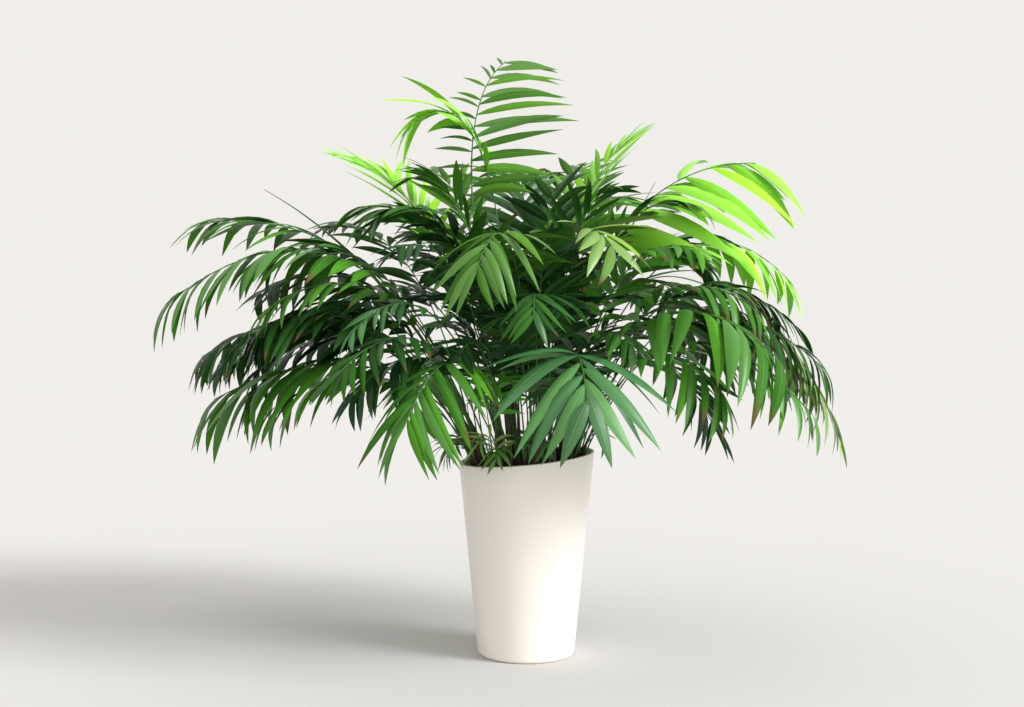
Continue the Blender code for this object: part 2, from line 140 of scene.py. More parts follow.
# A frond's tint names its leaflets' colours: the bright yellow-green one paints light shining through
# backlit leaflets, the darkest one paints the crown's inner shade, and the bluish one paints a reflection
# of the sky
FRONDS = (
    Frond("top", "fresh", 11, 94, 0.1, 0.78, 0.3, 0.69, 0.56, 0.135, 0.015, 0.7,
          sway=0.1, splay=92, raise_left=-30, left_size=0.4),
    Frond("top_left", "lime", 10, 176, 0.125, 0.69, 0.05, 0.76, 0.68, 0.12, 0.017, 2.0, splay=60),
    Frond("far_left_pale", "lime", 3, 147, 0.24, 0.665, 0.25, 0.56, 0.55, 0.13, 0.012, 0.6, splay=55),
    Frond("left_upper_dark", "dark", 11, 206, 0.18, 0.55, 0.25, 0.6, 0.5, 0.11, 0.019, 1.3),
    Frond("left_top", "mid", 4, 174, 0.37, 0.56, 0.3, 0.58, 0.5, 0.115, 0.016, 1.5),
    Frond("left_mid", "mid", 5, 192, 0.38, 0.44, 0.36, 0.64, 0.48, 0.125, 0.019, 1.8),
    Frond("left_dark", "dark", 4, 166, 0.4, 0.38, 0.35, 0.53, 0.45, 0.115, 0.019, 1.8),
    Frond("left_low", "mid", 5, 183, 0.33, 0.325, 0.36, 0.44, 0.45, 0.155, 0.025, 1.7),
    Frond("front_left", "mid", 6, 241, 0.21, 0.3, 0.5, 0.455, 0.46, 0.122, 0.0125, 2.7),
    Frond("front_right", "blue", 8, 274, 0.205, 0.325, 0.35, 0.46, 0.44, 0.14, 0.022, 2.0),
    Frond("front_centre", "fresh", 7, 250, 0.2, 0.465, 0.3, 0.63, 0.55, 0.105, 0.013, 2.3),
    Frond("right_bright", "lime", 12, 356, 0.27, 0.62, 0.3, 0.63, 0.48, 0.165, 0.025, 1.2,
          splay=80, drop_right=55),
    Frond("right_second", "lime", 1, 13, 0.33, 0.48, 0.45, 0.66, 0.55, 0.105, 0.021, 1.6, drop_right=20),
    Frond("right_long", "olive", 0, 357, 0.33, 0.29, 0.48, 0.66, 0.5, 0.1, 0.013, 1.6),
    Frond("right_front", "mid", 8, 326, 0.28, 0.37, 0.4, 0.53, 0.42, 0.145, 0.02, 2.6),
    Frond("right_low_back", "deep", 1, 28, 0.25, 0.28, 0.45, 0.5, 0.5, 0.1, 0.014, 1.3),
    Frond("top_right", "lime", 9, 24, 0.12, 0.665, 0.2, 0.56, 0.52, 0.105, 0.014, 0.8),
    Frond("top_right_back", "fresh", 2, 61, 0.17, 0.665, 0.25, 0.6, 0.5, 0.1, 0.016, 0.7),
    Frond("centre_dark", "deep", 9, 53, 0.03, 0.6, 0.2, 0.55, 0.5, 0.1, 0.015, 1.0, splay=80),
    Frond("right_inner_pale", "olive", 12, 295, 0.18, 0.5, 0.35, 0.6, 0.55, 0.1, 0.017, 1.0),
    Frond("left_small", "blue", 6, 216, 0.21, 0.4, 0.45, 0.52, 0.5, 0.055, 0.011, 1.3),
    Frond("right_inner_dark", "dark", 0, 6, 0.18, 0.49, 0.35, 0.6, 0.48, 0.1, 0.018, 1.5),
    Frond("back_left_high", "mid", 10, 122, 0.28, 0.6, 0.25, 0.62, 0.5, 0.105, 0.017, 1.2),
    Frond("back_left_mid", "dark", 3, 142, 0.34, 0.42, 0.38, 0.6, 0.48, 0.105, 0.017, 1.6),
    Frond("back_left_low", "mid", 3, 118, 0.31, 0.29, 0.42, 0.5, 0.46, 0.11, 0.018, 1.7),
    Frond("back_high", "mid", 10, 88, 0.25, 0.66, 0.22, 0.66, 0.5, 0.105, 0.017, 1.0),
    Frond("back_mid", "fresh", 2, 96, 0.35, 0.46, 0.36, 0.62, 0.48, 0.105, 0.018, 1.6),
    Frond("back_low", "dark", 2, 78, 0.31, 0.3, 0.42, 0.5, 0.46, 0.105, 0.017, 1.7),
    Frond("back_right_high", "mid", 9, 60, 0.27, 0.62, 0.24, 0.62, 0.5, 0.1, 0.016, 1.1),
    Frond("back_right_mid", "mid", 1, 50, 0.34, 0.44, 0.38, 0.6, 0.48, 0.105, 0.018, 1.6),
    Frond("front_mid_dark", "dark", 7, 268, 0.17, 0.42, 0.35, 0.52, 0.46, 0.08, 0.011, 1.5),
    Frond("front_left_inner", "deep", 6, 228, 0.17, 0.5, 0.3, 0.54, 0.46, 0.085, 0.013, 1.4),
    Frond("front_right_inner", "mid", 8, 318, 0.19, 0.5, 0.3, 0.54, 0.46, 0.09, 0.014, 1.4),
    Frond("centre_left", "deep", 11, 190, 0.1, 0.54, 0.3, 0.5, 0.42, 0.085, 0.013, 1.2, splay=80),
    Frond("centre_back", "dark", 9, 105, 0.09, 0.62, 0.3, 0.5, 0.42, 0.095, 0.015, 1.0, splay=80),
    Frond("centre_front", "dark", 12, 262, 0.1, 0.5, 0.3, 0.48, 0.42, 0.08, 0.011, 1.2, splay=75),
    Frond("spear_left", "dark", 4, 165, 0.31, 0.61, 0.35, 0.5),
    Frond("spear_right", "dark", 9, 27, 0.18, 0.62, 0.45, 0.46),
    Frond("spear_back", "mid", 3, 128, 0.2, 0.56, 0.4, 0.44),
)

# Fronds that fill the crown, by tint, on petioles of their own beside the canes. Each row starts
# with a number of its own, which seeds its random draws and sets the side where its foot stands.
INNER = {
    # The darkest tint paints the shade inside the dense crown onto old leaves' green
    "deep": (
        (4, 6, 212, 0.2, 0.33, 0.4, 0.46, 0.46, 0.09, 0.015, 1.6),
        (21, 1, 38, 0.31, 0.37, 0.4, 0.54, 0.46, 0.095, 0.015, 1.6),
        (22, 11, 235, 0.09, 0.47, 0.35, 0.48, 0.42, 0.085, 0.013, 1.1),
        (23, 12, 282, 0.13, 0.44, 0.35, 0.48, 0.42, 0.085, 0.013, 1.2),
        (24, 9, 350, 0.12, 0.52, 0.35, 0.52, 0.42, 0.085, 0.013, 1.1),
        (25, 10, 170, 0.13, 0.46, 0.35, 0.48, 0.42, 0.085, 0.013, 1.2),
        (26, 6, 250, 0.13, 0.38, 0.35, 0.44, 0.42, 0.08, 0.013, 1.3),
        (30, 12, 15, 0.16, 0.42, 0.4, 0.48, 0.42, 0.085, 0.013, 1.3),
        (32, 5, 184, 0.27, 0.41, 0.36, 0.54, 0.46, 0.11, 0.016, 1.7),
        (40, 11, 262, 0.08, 0.45, 0.3, 0.46, 0.4, 0.06, 0.009, 1.3),
        (43, 9, 330, 0.14, 0.45, 0.3, 0.49, 0.4, 0.065, 0.009, 1.4),
        (49, 4, 174, 0.3, 0.36, 0.38, 0.49, 0.46, 0.1, 0.018, 1.8),
    ),
    "dark": (
        (1, 5, 188, 0.31, 0.38, 0.36, 0.55, 0.48, 0.11, 0.017, 1.7),
        (2, 4, 158, 0.34, 0.47, 0.34, 0.58, 0.48, 0.1, 0.016, 1.6),
        (7, 0, 350, 0.27, 0.42, 0.4, 0.57, 0.48, 0.095, 0.015, 1.5),
        (10, 0, 10, 0.31, 0.35, 0.42, 0.54, 0.48, 0.095, 0.015, 1.7),
        (17, 12, 322, 0.1, 0.58, 0.3, 0.56, 0.5, 0.09, 0.012, 1.2),
        (18, 2, 70, 0.28, 0.51, 0.34, 0.6, 0.48, 0.1, 0.016, 1.4),
        (20, 10, 132, 0.2, 0.56, 0.3, 0.58, 0.48, 0.095, 0.015, 1.2),
        (27, 8, 300, 0.14, 0.39, 0.35, 0.46, 0.42, 0.08, 0.013, 1.3),
        (28, 7, 275, 0.09, 0.52, 0.3, 0.5, 0.46, 0.08, 0.013, 1.1),
        (29, 4, 150, 0.24, 0.57, 0.3, 0.56, 0.5, 0.095, 0.015, 1.2),
        (31, 4, 170, 0.34, 0.4, 0.36, 0.52, 0.46, 0.11, 0.017, 1.8),
        (33, 5, 194, 0.33, 0.38, 0.36, 0.53, 0.46, 0.11, 0.017, 1.8),
        (35, 6, 224, 0.24, 0.36, 0.42, 0.48, 0.46, 0.09, 0.014, 1.6),
        (37, 0, 345, 0.31, 0.36, 0.42, 0.54, 0.48, 0.105, 0.014, 2.0),
        (39, 7, 245, 0.1, 0.42, 0.3, 0.44, 0.4, 0.06, 0.009, 1.4),
        (41, 12, 300, 0.11, 0.5, 0.3, 0.5, 0.4, 0.065, 0.009, 1.3),
        (42, 12, 318, 0.12, 0.4, 0.3, 0.44, 0.4, 0.065, 0.009, 1.4),
        (44, 10, 212, 0.12, 0.42, 0.3, 0.45, 0.4, 0.065, 0.009, 1.4),
        (46, 8, 288, 0.1, 0.35, 0.4, 0.41, 0.42, 0.06, 0.009, 1.4),
        (47, 7, 230, 0.14, 0.48, 0.32, 0.52, 0.42, 0.065, 0.009, 1.4),
        (48, 5, 172, 0.34, 0.37, 0.36, 0.5, 0.46, 0.105, 0.018, 1.7),
    ),
    "mid": (
        (0, 4, 178, 0.3, 0.5, 0.32, 0.6, 0.5, 0.105, 0.016, 1.6),
        (3, 5, 202, 0.27, 0.43, 0.36, 0.56, 0.48, 0.09, 0.015, 1.5),
        (5, 10, 186, 0.2, 0.57, 0.25, 0.6, 0.5, 0.095, 0.014, 1.3),
        (6, 5, 176, 0.3, 0.33, 0.36, 0.46, 0.46, 0.135, 0.021, 1.8),
        (8, 8, 338, 0.3, 0.31, 0.42, 0.51, 0.46, 0.095, 0.014, 1.9),
        (9, 1, 20, 0.24, 0.54, 0.35, 0.6, 0.5, 0.09, 0.014, 1.3),
        (16, 11, 200, 0.12, 0.6, 0.25, 0.6, 0.5, 0.095, 0.014, 1.3),
        (19, 3, 110, 0.27, 0.51, 0.34, 0.6, 0.48, 0.1, 0.016, 1.4),
        (34, 5, 190, 0.26, 0.31, 0.4, 0.43, 0.46, 0.115, 0.018, 1.6),
        (36, 8, 322, 0.22, 0.33, 0.42, 0.47, 0.46, 0.11, 0.015, 1.8),
        (38, 0, 330, 0.24, 0.43, 0.38, 0.55, 0.48, 0.1, 0.014, 1.7),
        (45, 6, 262, 0.1, 0.34, 0.4, 0.4, 0.42, 0.06, 0.009, 1.4),
    ),
    "fresh": (
        (11, 12, 340, 0.2, 0.56, 0.3, 0.61, 0.52, 0.095, 0.014, 1.3),
        (13, 10, 140, 0.15, 0.64, 0.25, 0.6, 0.52, 0.1, 0.014, 0.9),
    ),
    "olive": (
        (12, 0, 2, 0.31, 0.33, 0.5, 0.6, 0.52, 0.085, 0.012, 2.2),
    ),
}

# Small young fronds among the canes' feet, some of them over the rim
YOUNG = tuple(Frond("young", *row) for row in (
    ("dark", 5, 205, 0.042, 0.262, 0.6, 0.3, 0.4, 0.058, 0.0055, 1.6),
    ("olive", 5, 178, 0.04, 0.258, 0.6, 0.292, 0.4, 0.052, 0.005, 1.5),
    ("fresh", 6, 262, 0.042, 0.254, 0.6, 0.29, 0.5, 0.036, 0.006, 1.8),
    ("dark", 7, 290, 0.03, 0.275, 0.6, 0.3, 0.45, 0.046, 0.0055, 1.5),
    ("dark", 0, 340, 0.036, 0.27, 0.6, 0.305, 0.45, 0.036, 0.008, 1.6),
    ("mid", 2, 100, 0.038, 0.266, 0.6, 0.3, 0.45, 0.036, 0.008, 1.6),
    ("dark", 4, 150, 0.042, 0.262, 0.6, 0.296, 0.45, 0.05, 0.0055, 1.7),
    ("olive", 6, 225, 0.036, 0.275, 0.5, 0.3, 0.45, 0.055, 0.005, 1.5),
))


def number_of(name, description, default, **kind):
    """Property for a number that is nought or more."""
    return bpy.props.FloatProperty(name=name, description=description, default=default, min=0.0, **kind)


def length_of(name, description, default):
    """Property for a size in metres."""
    return number_of(name, description, default, precision=4, subtype="DISTANCE", unit="LENGTH")


def angle_of(name, description, degrees):
    """Property for an angle, given in degrees."""
    return number_of(name, description, math.radians(degrees), subtype="ANGLE", unit="ROTATION")


def colour_of(name, description, default):
    """Property for a base colour."""
    return bpy.props.FloatVectorProperty(name=name, description=description, default=default,
                                         min=0.0, max=1.0, size=3, subtype="COLOR")


class PotSettings(bpy.types.PropertyGroup):
    """Sizes and colours of the pot and what fills it."""
    height: length_of("Height", "Height of the pot's axis, from its foot to its slanted rim", 0.2515)
    rim_radius: length_of("Rim radius", "Outer radius of the rim", 0.0865)
    foot_radius: length_of("Foot radius", "Outer radius of the foot", 0.0615)
    wall: length_of("Wall", "Thickness of the wall", 0.0045)
    glaze: colour_of("Glaze", "Colour of the pot", (0.865, 0.81, 0.755))
    soil: colour_of("Soil", "Colour of the potting soil", (0.036, 0.025, 0.018))
    bark: colour_of("Bark chips", "Colour of the bark chips in the soil", (0.120, 0.066, 0.036))


class CaneSettings(bpy.types.PropertyGroup):
    """Sizes and colours of the canes and petioles."""
    foot_radius: length_of("Foot radius", "Radius of a cane at the soil", 0.0050)
    top_radius: length_of("Top radius", "Radius of a cane at its top", 0.0045)
    petiole_radius: length_of("Petiole radius", "Radius of a petiole above its sheath", 0.0014)
    tip_radius: length_of("Rib tip radius", "Radius of a rib at its tip", 0.0005)
    green: colour_of("Cane green", "Colour of a cane", (0.026, 0.050, 0.014))
    petiole: colour_of("Petiole", "Colour of petioles and ribs", (0.040, 0.130, 0.018))
    sheath: colour_of("Sheath", "Colour of the dry sheaths", (0.050, 0.031, 0.015))


class LeafSettings(bpy.types.PropertyGroup):
    """Shape and colours of the leaflets."""
    slim: number_of("Slim", "Width of a leaflet against the solid frond's fewer, fuller ones", 0.86)
    spacing: number_of("Spacing", "Distance between leaflets, in widths, on top of the gap", 1.05)
    gap: length_of("Gap", "Distance between leaflets on top of the spacing", 0.003)
    fold: number_of("Fold", "Drop of a leaflet's edges, as a share of its half width", 0.26)
    thickness: length_of("Thickness", "Thickness of a leaflet at its midrib", 0.0006)
    twist: number_of("Twist", "Spread of the turn of the leaflets' tips, in radians", 0.30)
    # Darkest tint: old leaves' dark green, darkened further to paint the shade inside the dense crown
    deep: colour_of("Deep", "Shaded old leaves", (0.005, 0.050, 0.009))
    dark: colour_of("Dark", "Old leaves", (0.018, 0.094, 0.012))
    mid: colour_of("Middle", "Grown leaves", (0.050, 0.200, 0.014))
    fresh: colour_of("Fresh", "Young leaves", (0.066, 0.195, 0.018))
    # Bright yellow-green tint: young leaves' paler green, brightened to paint the glow of sunlight shining
    # through backlit leaflets
    lime: colour_of("Lime", "Youngest leaves", (0.290, 0.760, 0.042))
    # Bluish tint: green with a bluish cast that paints the sky's reflection on glossy leaflets; their
    # stronger gloss itself is real
    blue: colour_of("Blue green", "Bluish leaves", (0.060, 0.200, 0.058))
    olive: colour_of("Olive", "Ageing leaves", (0.180, 0.330, 0.070))


class StudioSettings(bpy.types.PropertyGroup):
    """Colour of the studio's air, and strength, place and spread of its two lights."""
    air: colour_of("Background", "Colour of the light from all round", (0.877, 0.855, 0.823))
    key_power: number_of("Key strength", "Soft sun from the right, in watts per square metre", 3.3)
    key_height: angle_of("Key height", "Angle of the key light above the floor", 30.0)
    key_side: angle_of("Key side", "Angle of the key light from the front", 66.0)
    key_spread: angle_of("Key spread", "Width of the key light in the sky", 24.0)
    fill_power: number_of("Fill strength", "Wide light from the front right, in the same unit", 0.6)
    fill_height: angle_of("Fill height", "Angle of the fill light above the floor", 10.0)
    fill_side: angle_of("Fill side", "Angle of the fill light from the front", 32.0)
    fill_spread: angle_of("Fill spread", "Width of the fill light in the sky", 70.0)


def math_method(operation, reflected=False):
    """Method of Value that adds a Math node. A reflected one puts the value last."""
    def method(self, *others):
        return self.math(operation, *((*others, self) if reflected else (self, *others)))
    return method


class Value:
    """A number that changes over a surface. Arithmetic on it adds Math nodes to its material."""

    def __init__(self, finish, socket):
        self.finish = finish
        self.socket = socket

    def math(self, operation, *numbers):
        node = self.finish.node("ShaderNodeMath", {"operation": operation}, dict(enumerate(numbers)))
        return Value(self.finish, node.outputs[0])

    __add__ = __radd__ = math_method("ADD")
    __mul__ = __rmul__ = math_method("MULTIPLY")
    __sub__ = math_method("SUBTRACT")
    __rsub__ = math_method("SUBTRACT", reflected=True)
    __abs__ = math_method("ABSOLUTE")
    sine = math_method("SINE")

    def clamped(self):
        return self.math("MAXIMUM", self.math("MINIMUM", self, 1.0), 0.0)


class Finish:
    """A material's node tree, and the kinds of step that the finishes here are made of."""

    def __init__(self, name):
        self.material = bpy.data.materials.new(name)
        self.material.use_nodes = True
        self.tree = self.material.node_tree
        self.tree.nodes.clear()
        self.place = self.node("ShaderNodeTexCoord").outputs["Object"]

    def node(self, kind, settings=None, inputs=None):
        """Node of a kind: its settings are set first, then its sockets' values or links."""
        made = self.tree.nodes.new(kind)
        for name, value in (settings or {}).items():
            setattr(made, name, value)
        for name, value in (inputs or {}).items():
            if isinstance(value, Value):
                value = value.socket
            if isinstance(value, bpy.types.NodeSocket):
                self.tree.links.new(value, made.inputs[name])
            else:
                made.inputs[name].default_value = value
        return made

    def grain(self):
        """Places across and along a leaflet, from 0 to 1."""
        uv = self.node("ShaderNodeUVMap", {"uv_map": GRAIN_MAP})
        parts = self.node("ShaderNodeSeparateXYZ", inputs={0: uv.outputs[0]})
        return Value(self, parts.outputs[0]), Value(self, parts.outputs[1])

    def noise(self, scale, detail=3.0, place=None):
        """Cloudy pattern from 0 to 1, with scale in features for each metre of the place."""
        inputs = {"Vector": place or self.place, "Scale": scale, "Detail": detail}
        return Value(self, self.node("ShaderNodeTexNoise", inputs=inputs).outputs[0])

    def colours(self, factor, first, second):
        """Colour between two, by a factor from 0 to 1."""
        ends = [c if isinstance(c, bpy.types.NodeSocket) else (*c, 1.0) for c in (first, second)]
        mixed = self.node("ShaderNodeMix", {"data_type": "RGBA"}, {0: factor, 6: ends[0], 7: ends[1]})
        return mixed.outputs[2]

    def bump(self, height, distance, strength=1.0):
        """Normal that follows a height pattern, whose full range is a distance in metres."""
        made = self.node("ShaderNodeBump", inputs={"Height": height, "Distance": distance,
                                                   "Strength": strength})
        return made.outputs[0]

    def done(self, **sockets):
        """The finished material, with a Principled shader's sockets by their names."""
        named = {name.replace("_", " ").title().replace("Ior", "IOR"): v for name, v in sockets.items()}
        shader = self.node("ShaderNodeBsdfPrincipled", inputs=named)
        self.node("ShaderNodeOutputMaterial", inputs={"Surface": shader.outputs[0]})
        return self.material


def scaled(colour, factor):
    """Colour made lighter or darker, kept under 1."""
    return tuple(min(0.95, factor * part) for part in colour)


def glaze_finish(colour):
    """Satin white glaze with faint clouds and an eggshell surface."""
    finish = Finish("white_glaze")
    clouds = finish.noise(9.0, 4.0)
    eggshell = finish.noise(420.0, 2.0)
    return finish.done(
        base_color=finish.colours(clouds, scaled(colour, 0.965), scaled(colour, 1.02)),
        roughness=0.30 + 0.10 * clouds,
        specular_ior_level=0.45,
        coat_weight=0.15,
        coat_roughness=0.18,
        normal=finish.bump(eggshell, 0.00012, 0.6))


def soil_finish(name, colour, scale):
    """Damp crumbly soil or bark: two sizes of speckle."""
    finish = Finish(name)
    coarse = finish.noise(scale, 5.0)
    fine = finish.noise(scale * 6.0)
    speckle = (0.6 * coarse + 0.6 * fine - 0.1).clamped()
    return finish.done(
        base_color=finish.colours(speckle, scaled(colour, 0.45), scaled(colour, 1.8)),
        roughness=1.05 - 0.30 * fine,
        normal=finish.bump(coarse + 0.5 * fine, 0.0012))


def stem_finish(name, colour, patch, patch_share):
    """Smooth stem with long streaks, and patches of a second colour."""
    finish = Finish(name)
    drawn_out = {"Vector": finish.place, "Scale": (900.0, 900.0, 45.0)}
    streaks = finish.noise(1.0, place=finish.node("ShaderNodeMapping", inputs=drawn_out).outputs[0])
    spots = finish.noise(140.0, 4.0)
    base = finish.colours(streaks, scaled(colour, 0.65), scaled(colour, 1.35))
    patches = ((spots - (1.0 - patch_share)) * 6.0).clamped()
    return finish.done(
        base_color=finish.colours(patches, base, patch),
        roughness=0.42 + 0.20 * spots,
        normal=finish.bump(streaks, 0.0002))


def leaf_finish(name, colour, gloss, dry=0.0):
    """Leaflet skin: a paler midrib, parallel veins, faint clouds and a soft gloss.

    The last dry/6 of the length turns brown, sooner where the clouds are high.
    """
    finish = Finish(name)
    across, along = finish.grain()
    clouds = finish.noise(38.0)
    fine = finish.noise(260.0, 2.0)
    from_midrib = abs(across - 0.5)
    midrib = (1.0 - from_midrib * 22.0).clamped()
    veins = (across * 75.0).sine() * 0.5 + 0.5
    second_veins = (1.0 - abs(from_midrib - 0.24) * 34.0).clamped()
    depth = (0.55 * clouds + 0.20 * veins + 0.35 * along).clamped()
    base = finish.colours(depth, scaled(colour, 0.72), scaled(colour, 1.22))
    pale = scaled(tuple(0.7 * c + 0.3 * p for c, p in zip(colour, PALE_GREEN)), 1.25)
    lines = (0.55 * midrib + 0.18 * second_veins).clamped()
    skin = finish.colours(lines, base, pale)
    if dry:
        burnt = (6.0 * along + 2.0 * clouds - (7.0 - dry)).clamped()
        skin = finish.colours(burnt, skin, DRY_TIP)
    return finish.done(
        base_color=skin,
        roughness=0.56 - 0.4 * gloss + 0.16 * clouds + 0.06 * fine,
        specular_ior_level=gloss,
        normal=finish.bump(0.9 * midrib + 0.5 * second_veins + 0.2 * veins, 0.0002, 0.6))


def floor_finish(colour):
    """Plain pale matt floor with a faint unevenness."""
    finish = Finish("pale_floor")
    clouds = finish.noise(2.0)
    return finish.done(
        base_color=finish.colours(clouds, scaled(colour, 0.992), scaled(colour, 1.008)),
        roughness=0.9 + 0.05 * clouds,
        specular_ior_level=0.0)


def once(name, make, *values):
    """Material of that name, made by make(name, *values) the first time."""
    return bpy.data.materials.get(name) or make(name, *values)


def unit(vectors):
    """Vectors of length one along the last axis."""
    return vectors / np.maximum(np.linalg.norm(vectors, axis=-1, keepdims=True), 1e-12)


def level_direction(degrees):
    """Level unit vectors at angles from +X."""
    angle = np.radians(degrees)
    return np.stack([np.cos(angle), np.sin(angle), np.zeros_like(angle)], -1)


class Shape(NamedTuple):
    """A surface: its points, and its faces as one array of point numbers for each size of face."""
    points: np.ndarray
    faces: list
    choice: np.ndarray = None  # each face's material
    grain: np.ndarray = None  # each point's place in the leaflet's map


def add_piece(name, shape, materials, replaced=(), sharp=40.0):
    """Object of the plant from a shape and its materials, in place in the frame."""
    mesh = bpy.data.meshes.new(name)
    mesh.from_pydata(shape.points.tolist(), [], [f for block in shape.faces for f in block.tolist()])
    for material in materials:
        mesh.materials.append(material)
    if shape.choice is not None:
        mesh.polygons.foreach_set("material_index", shape.choice.astype(np.int32))
    if shape.grain is not None:
        corner = np.empty(len(mesh.loops), np.int32)
        mesh.loops.foreach_get("vertex_index", corner)
        mesh.uv_layers.new(name=GRAIN_MAP).data.foreach_set("uv", shape.grain[corner].ravel())
    mesh.shade_smooth()
    mesh.set_sharp_from_angle(angle=math.radians(sharp))
    piece = bpy.data.objects.new(name, mesh)
    bpy.context.scene.collection.objects.link(piece)
    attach(piece, "root")
    if replaced:
        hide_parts(*replaced)


def band(ring, first, second):
    """Faces between two rings of points, given by the number of each ring's first point."""
    column = np.arange(ring)
    beside = (column + 1) % ring
    return np.stack([first + column, first + beside, second + beside, second + column], -1)


def fan(ring, first, last):
    """Triangles from a ring of points to one last point."""
    column = np.arange(ring)
    return np.stack([first + column, first + (column + 1) % ring, np.full(ring, last)], -1)


def skin_faces(rings, ring):
    """Faces of a closed skin over rings of points and one last point: sides, tip and foot."""
    row = ring * np.arange(rings - 1)[:, None]
    end = ring * (rings - 1)
    return [band(ring, row, row + ring).reshape(-1, 4), fan(ring, end, end + ring),
            np.arange(ring)[None, ::-1]]


def repeated(faces, count, points_each):
    """The same faces for each of several like skins, one after another."""
    steps = points_each * np.arange(count)[:, None, None]
    return [(block[None] + steps).reshape(-1, block.shape[1]) for block in faces]


def turned(profile, steps):
    """Points and faces of a profile turned about the Z axis, with both its ends on the axis.

    Point (radius, height) at an angle stands at (radius cos angle, radius sin angle, height).
    """
    angle = np.linspace(0.0, 2 * np.pi, steps, endpoint=False)
    radius, height = profile[1:-1, 0, None], profile[1:-1, 1, None]
    grid = np.stack([radius * np.cos(angle), radius * np.sin(angle), height + 0 * angle], -1)
    points = np.concatenate([grid.reshape(-1, 3), [[0, 0, profile[0, 1]], [0, 0, profile[-1, 1]]]])
    rows = len(profile) - 2
    start = fan(steps, 0, rows * steps)[:, [1, 0, 2]]
    end = fan(steps, (rows - 1) * steps, rows * steps + 1)
    return points, [skin_faces(rows, steps)[0], np.concatenate([end, start])]


def arc(centre, radius, start, end, steps):
    """Points of an arc in the profile plane, angles in degrees from +X."""
    angle = np.radians(np.linspace(start, end, steps + 1))
    return np.stack([centre[0] + radius * np.cos(angle), centre[1] + radius * np.sin(angle)], -1)


def pot_radius(pot, z):
    """Outer radius of the pot's straight side at a height."""
    return pot.foot_radius + (pot.rim_radius - pot.foot_radius) * z / pot.height


def pot_shape(pot):
    """The pot: its half section turned, with the rim slid along the sides onto a slanted plane.

    A point rises by the slope times its place, less and less below nine tenths of the height, and
    moves out by the taper times its rise.
    """
    rim_z = pot.height - RIM_ROUND
    inner = pot_radius(pot, FLOOR_THICKNESS) - pot.wall
    rim = pot_radius(pot, rim_z)
    foot = (pot_radius(pot, FOOT_ROUND) - FOOT_ROUND, FOOT_ROUND)
    levels = np.linspace(0.1, 0.9, 9)[:, None]
    inner_side = (inner, FLOOR_THICKNESS) + levels * (rim - pot.wall - inner, rim_z - FLOOR_THICKNESS)
    outer_side = (rim, rim_z) + levels * (pot_radius(pot, FOOT_ROUND) - rim, FOOT_ROUND - rim_z)
    profile = np.concatenate([
        [(0.0, FLOOR_THICKNESS), (inner * 0.5, FLOOR_THICKNESS), (inner, FLOOR_THICKNESS)],
        inner_side,
        arc((rim - pot.wall + RIM_ROUND, rim_z), RIM_ROUND, 180, 90, 6),
        arc((rim - RIM_ROUND, rim_z), RIM_ROUND, 90, 0, 6),
        outer_side,
        arc(foot, FOOT_ROUND, 0, -90, 8),
        [(foot[0] * 0.5, 0.0), (0.0, 0.0)],
    ])
    points, faces = turned(profile, 160)
    taper = (pot.rim_radius - pot.foot_radius) / pot.height
    weight = np.clip((points[:, 2] / pot.height - 0.5) / 0.4, 0, 1)
    rise = (points[:, :2] @ RIM_SLOPE) * weight
    points[:, 2] += rise
    points[:, :2] += unit(points[:, :2]) * (taper * rise)[:, None]
    return Shape(points, faces)


def soil_height(x, y):
    """Height of the soil: slow waves in three directions over a low mound."""
    waves = 0.0016 * np.sin(95 * x + 40 * y) + 0.0013 * np.sin(70 * y - 120 * x + 1.3)
    waves = waves + 0.0009 * np.sin(210 * x + 160 * y + 0.4)
    return SOIL_TOP + 0.001 + waves + 0.004 * np.exp(-(x * x + y * y) / 0.0018)


def soil_shape(pot, chance):
    """The soil: a waved top with fine grit, and plain sides that follow the pot's inner wall."""
    rows, steps = 30, 110
    edge = pot_radius(pot, SOIL_TOP) - pot.wall - SOIL_GAP
    low_z = FLOOR_THICKNESS + 0.0003
    low = pot_radius(pot, low_z) - pot.wall - SOIL_GAP
    top = np.stack([np.linspace(0.0, edge, rows), np.full(rows, SOIL_TOP)], -1)
    points, faces = turned(np.concatenate([top, [(low, low_z), (0.0, low_z)]]), steps)
    surface = points[:, 2] > SOIL_TOP - 0.001
    grit = chance.normal(0.0, 0.0007, len(points))
    points[surface, 2] = soil_height(points[surface, 0], points[surface, 1]) + grit[surface]
    return Shape(points, [block[:, ::-1] for block in faces])


def scattered(template, faces, count, size, flat, reach, chance):
    """Many small lumps on the soil: a lump's points jittered, stretched, turned and set down.

    A lump lies at the reach times the square root of a random share, so that they lie evenly.
    """
    lumps = template * chance.uniform(0.7, 1.25, (count, len(template), 1))
    lumps = lumps * chance.uniform(*size, (count, 1, 1)) * (1.0, 0.62, flat)
    lean = chance.uniform(-0.5, 0.5, (count, 1))
    turn = chance.uniform(0, 2 * np.pi, (count, 1))
    x, y, z = lumps[..., 0], lumps[..., 1], lumps[..., 2]
    x, z = x * np.cos(lean) - z * np.sin(lean), x * np.sin(lean) + z * np.cos(lean)
    x, y = x * np.cos(turn) - y * np.sin(turn), x * np.sin(turn) + y * np.cos(turn)
    far = reach * np.sqrt(chance.uniform(0, 1, (count, 1)))
    way = chance.uniform(0, 2 * np.pi, (count, 1))
    at_x, at_y = far * np.cos(way), far * np.sin(way)
    points = np.stack([x + at_x, y + at_y, z + soil_height(at_x, at_y) + 0.0004], -1)
    return Shape(points.reshape(-1, 3), repeated(faces, count, len(template)))


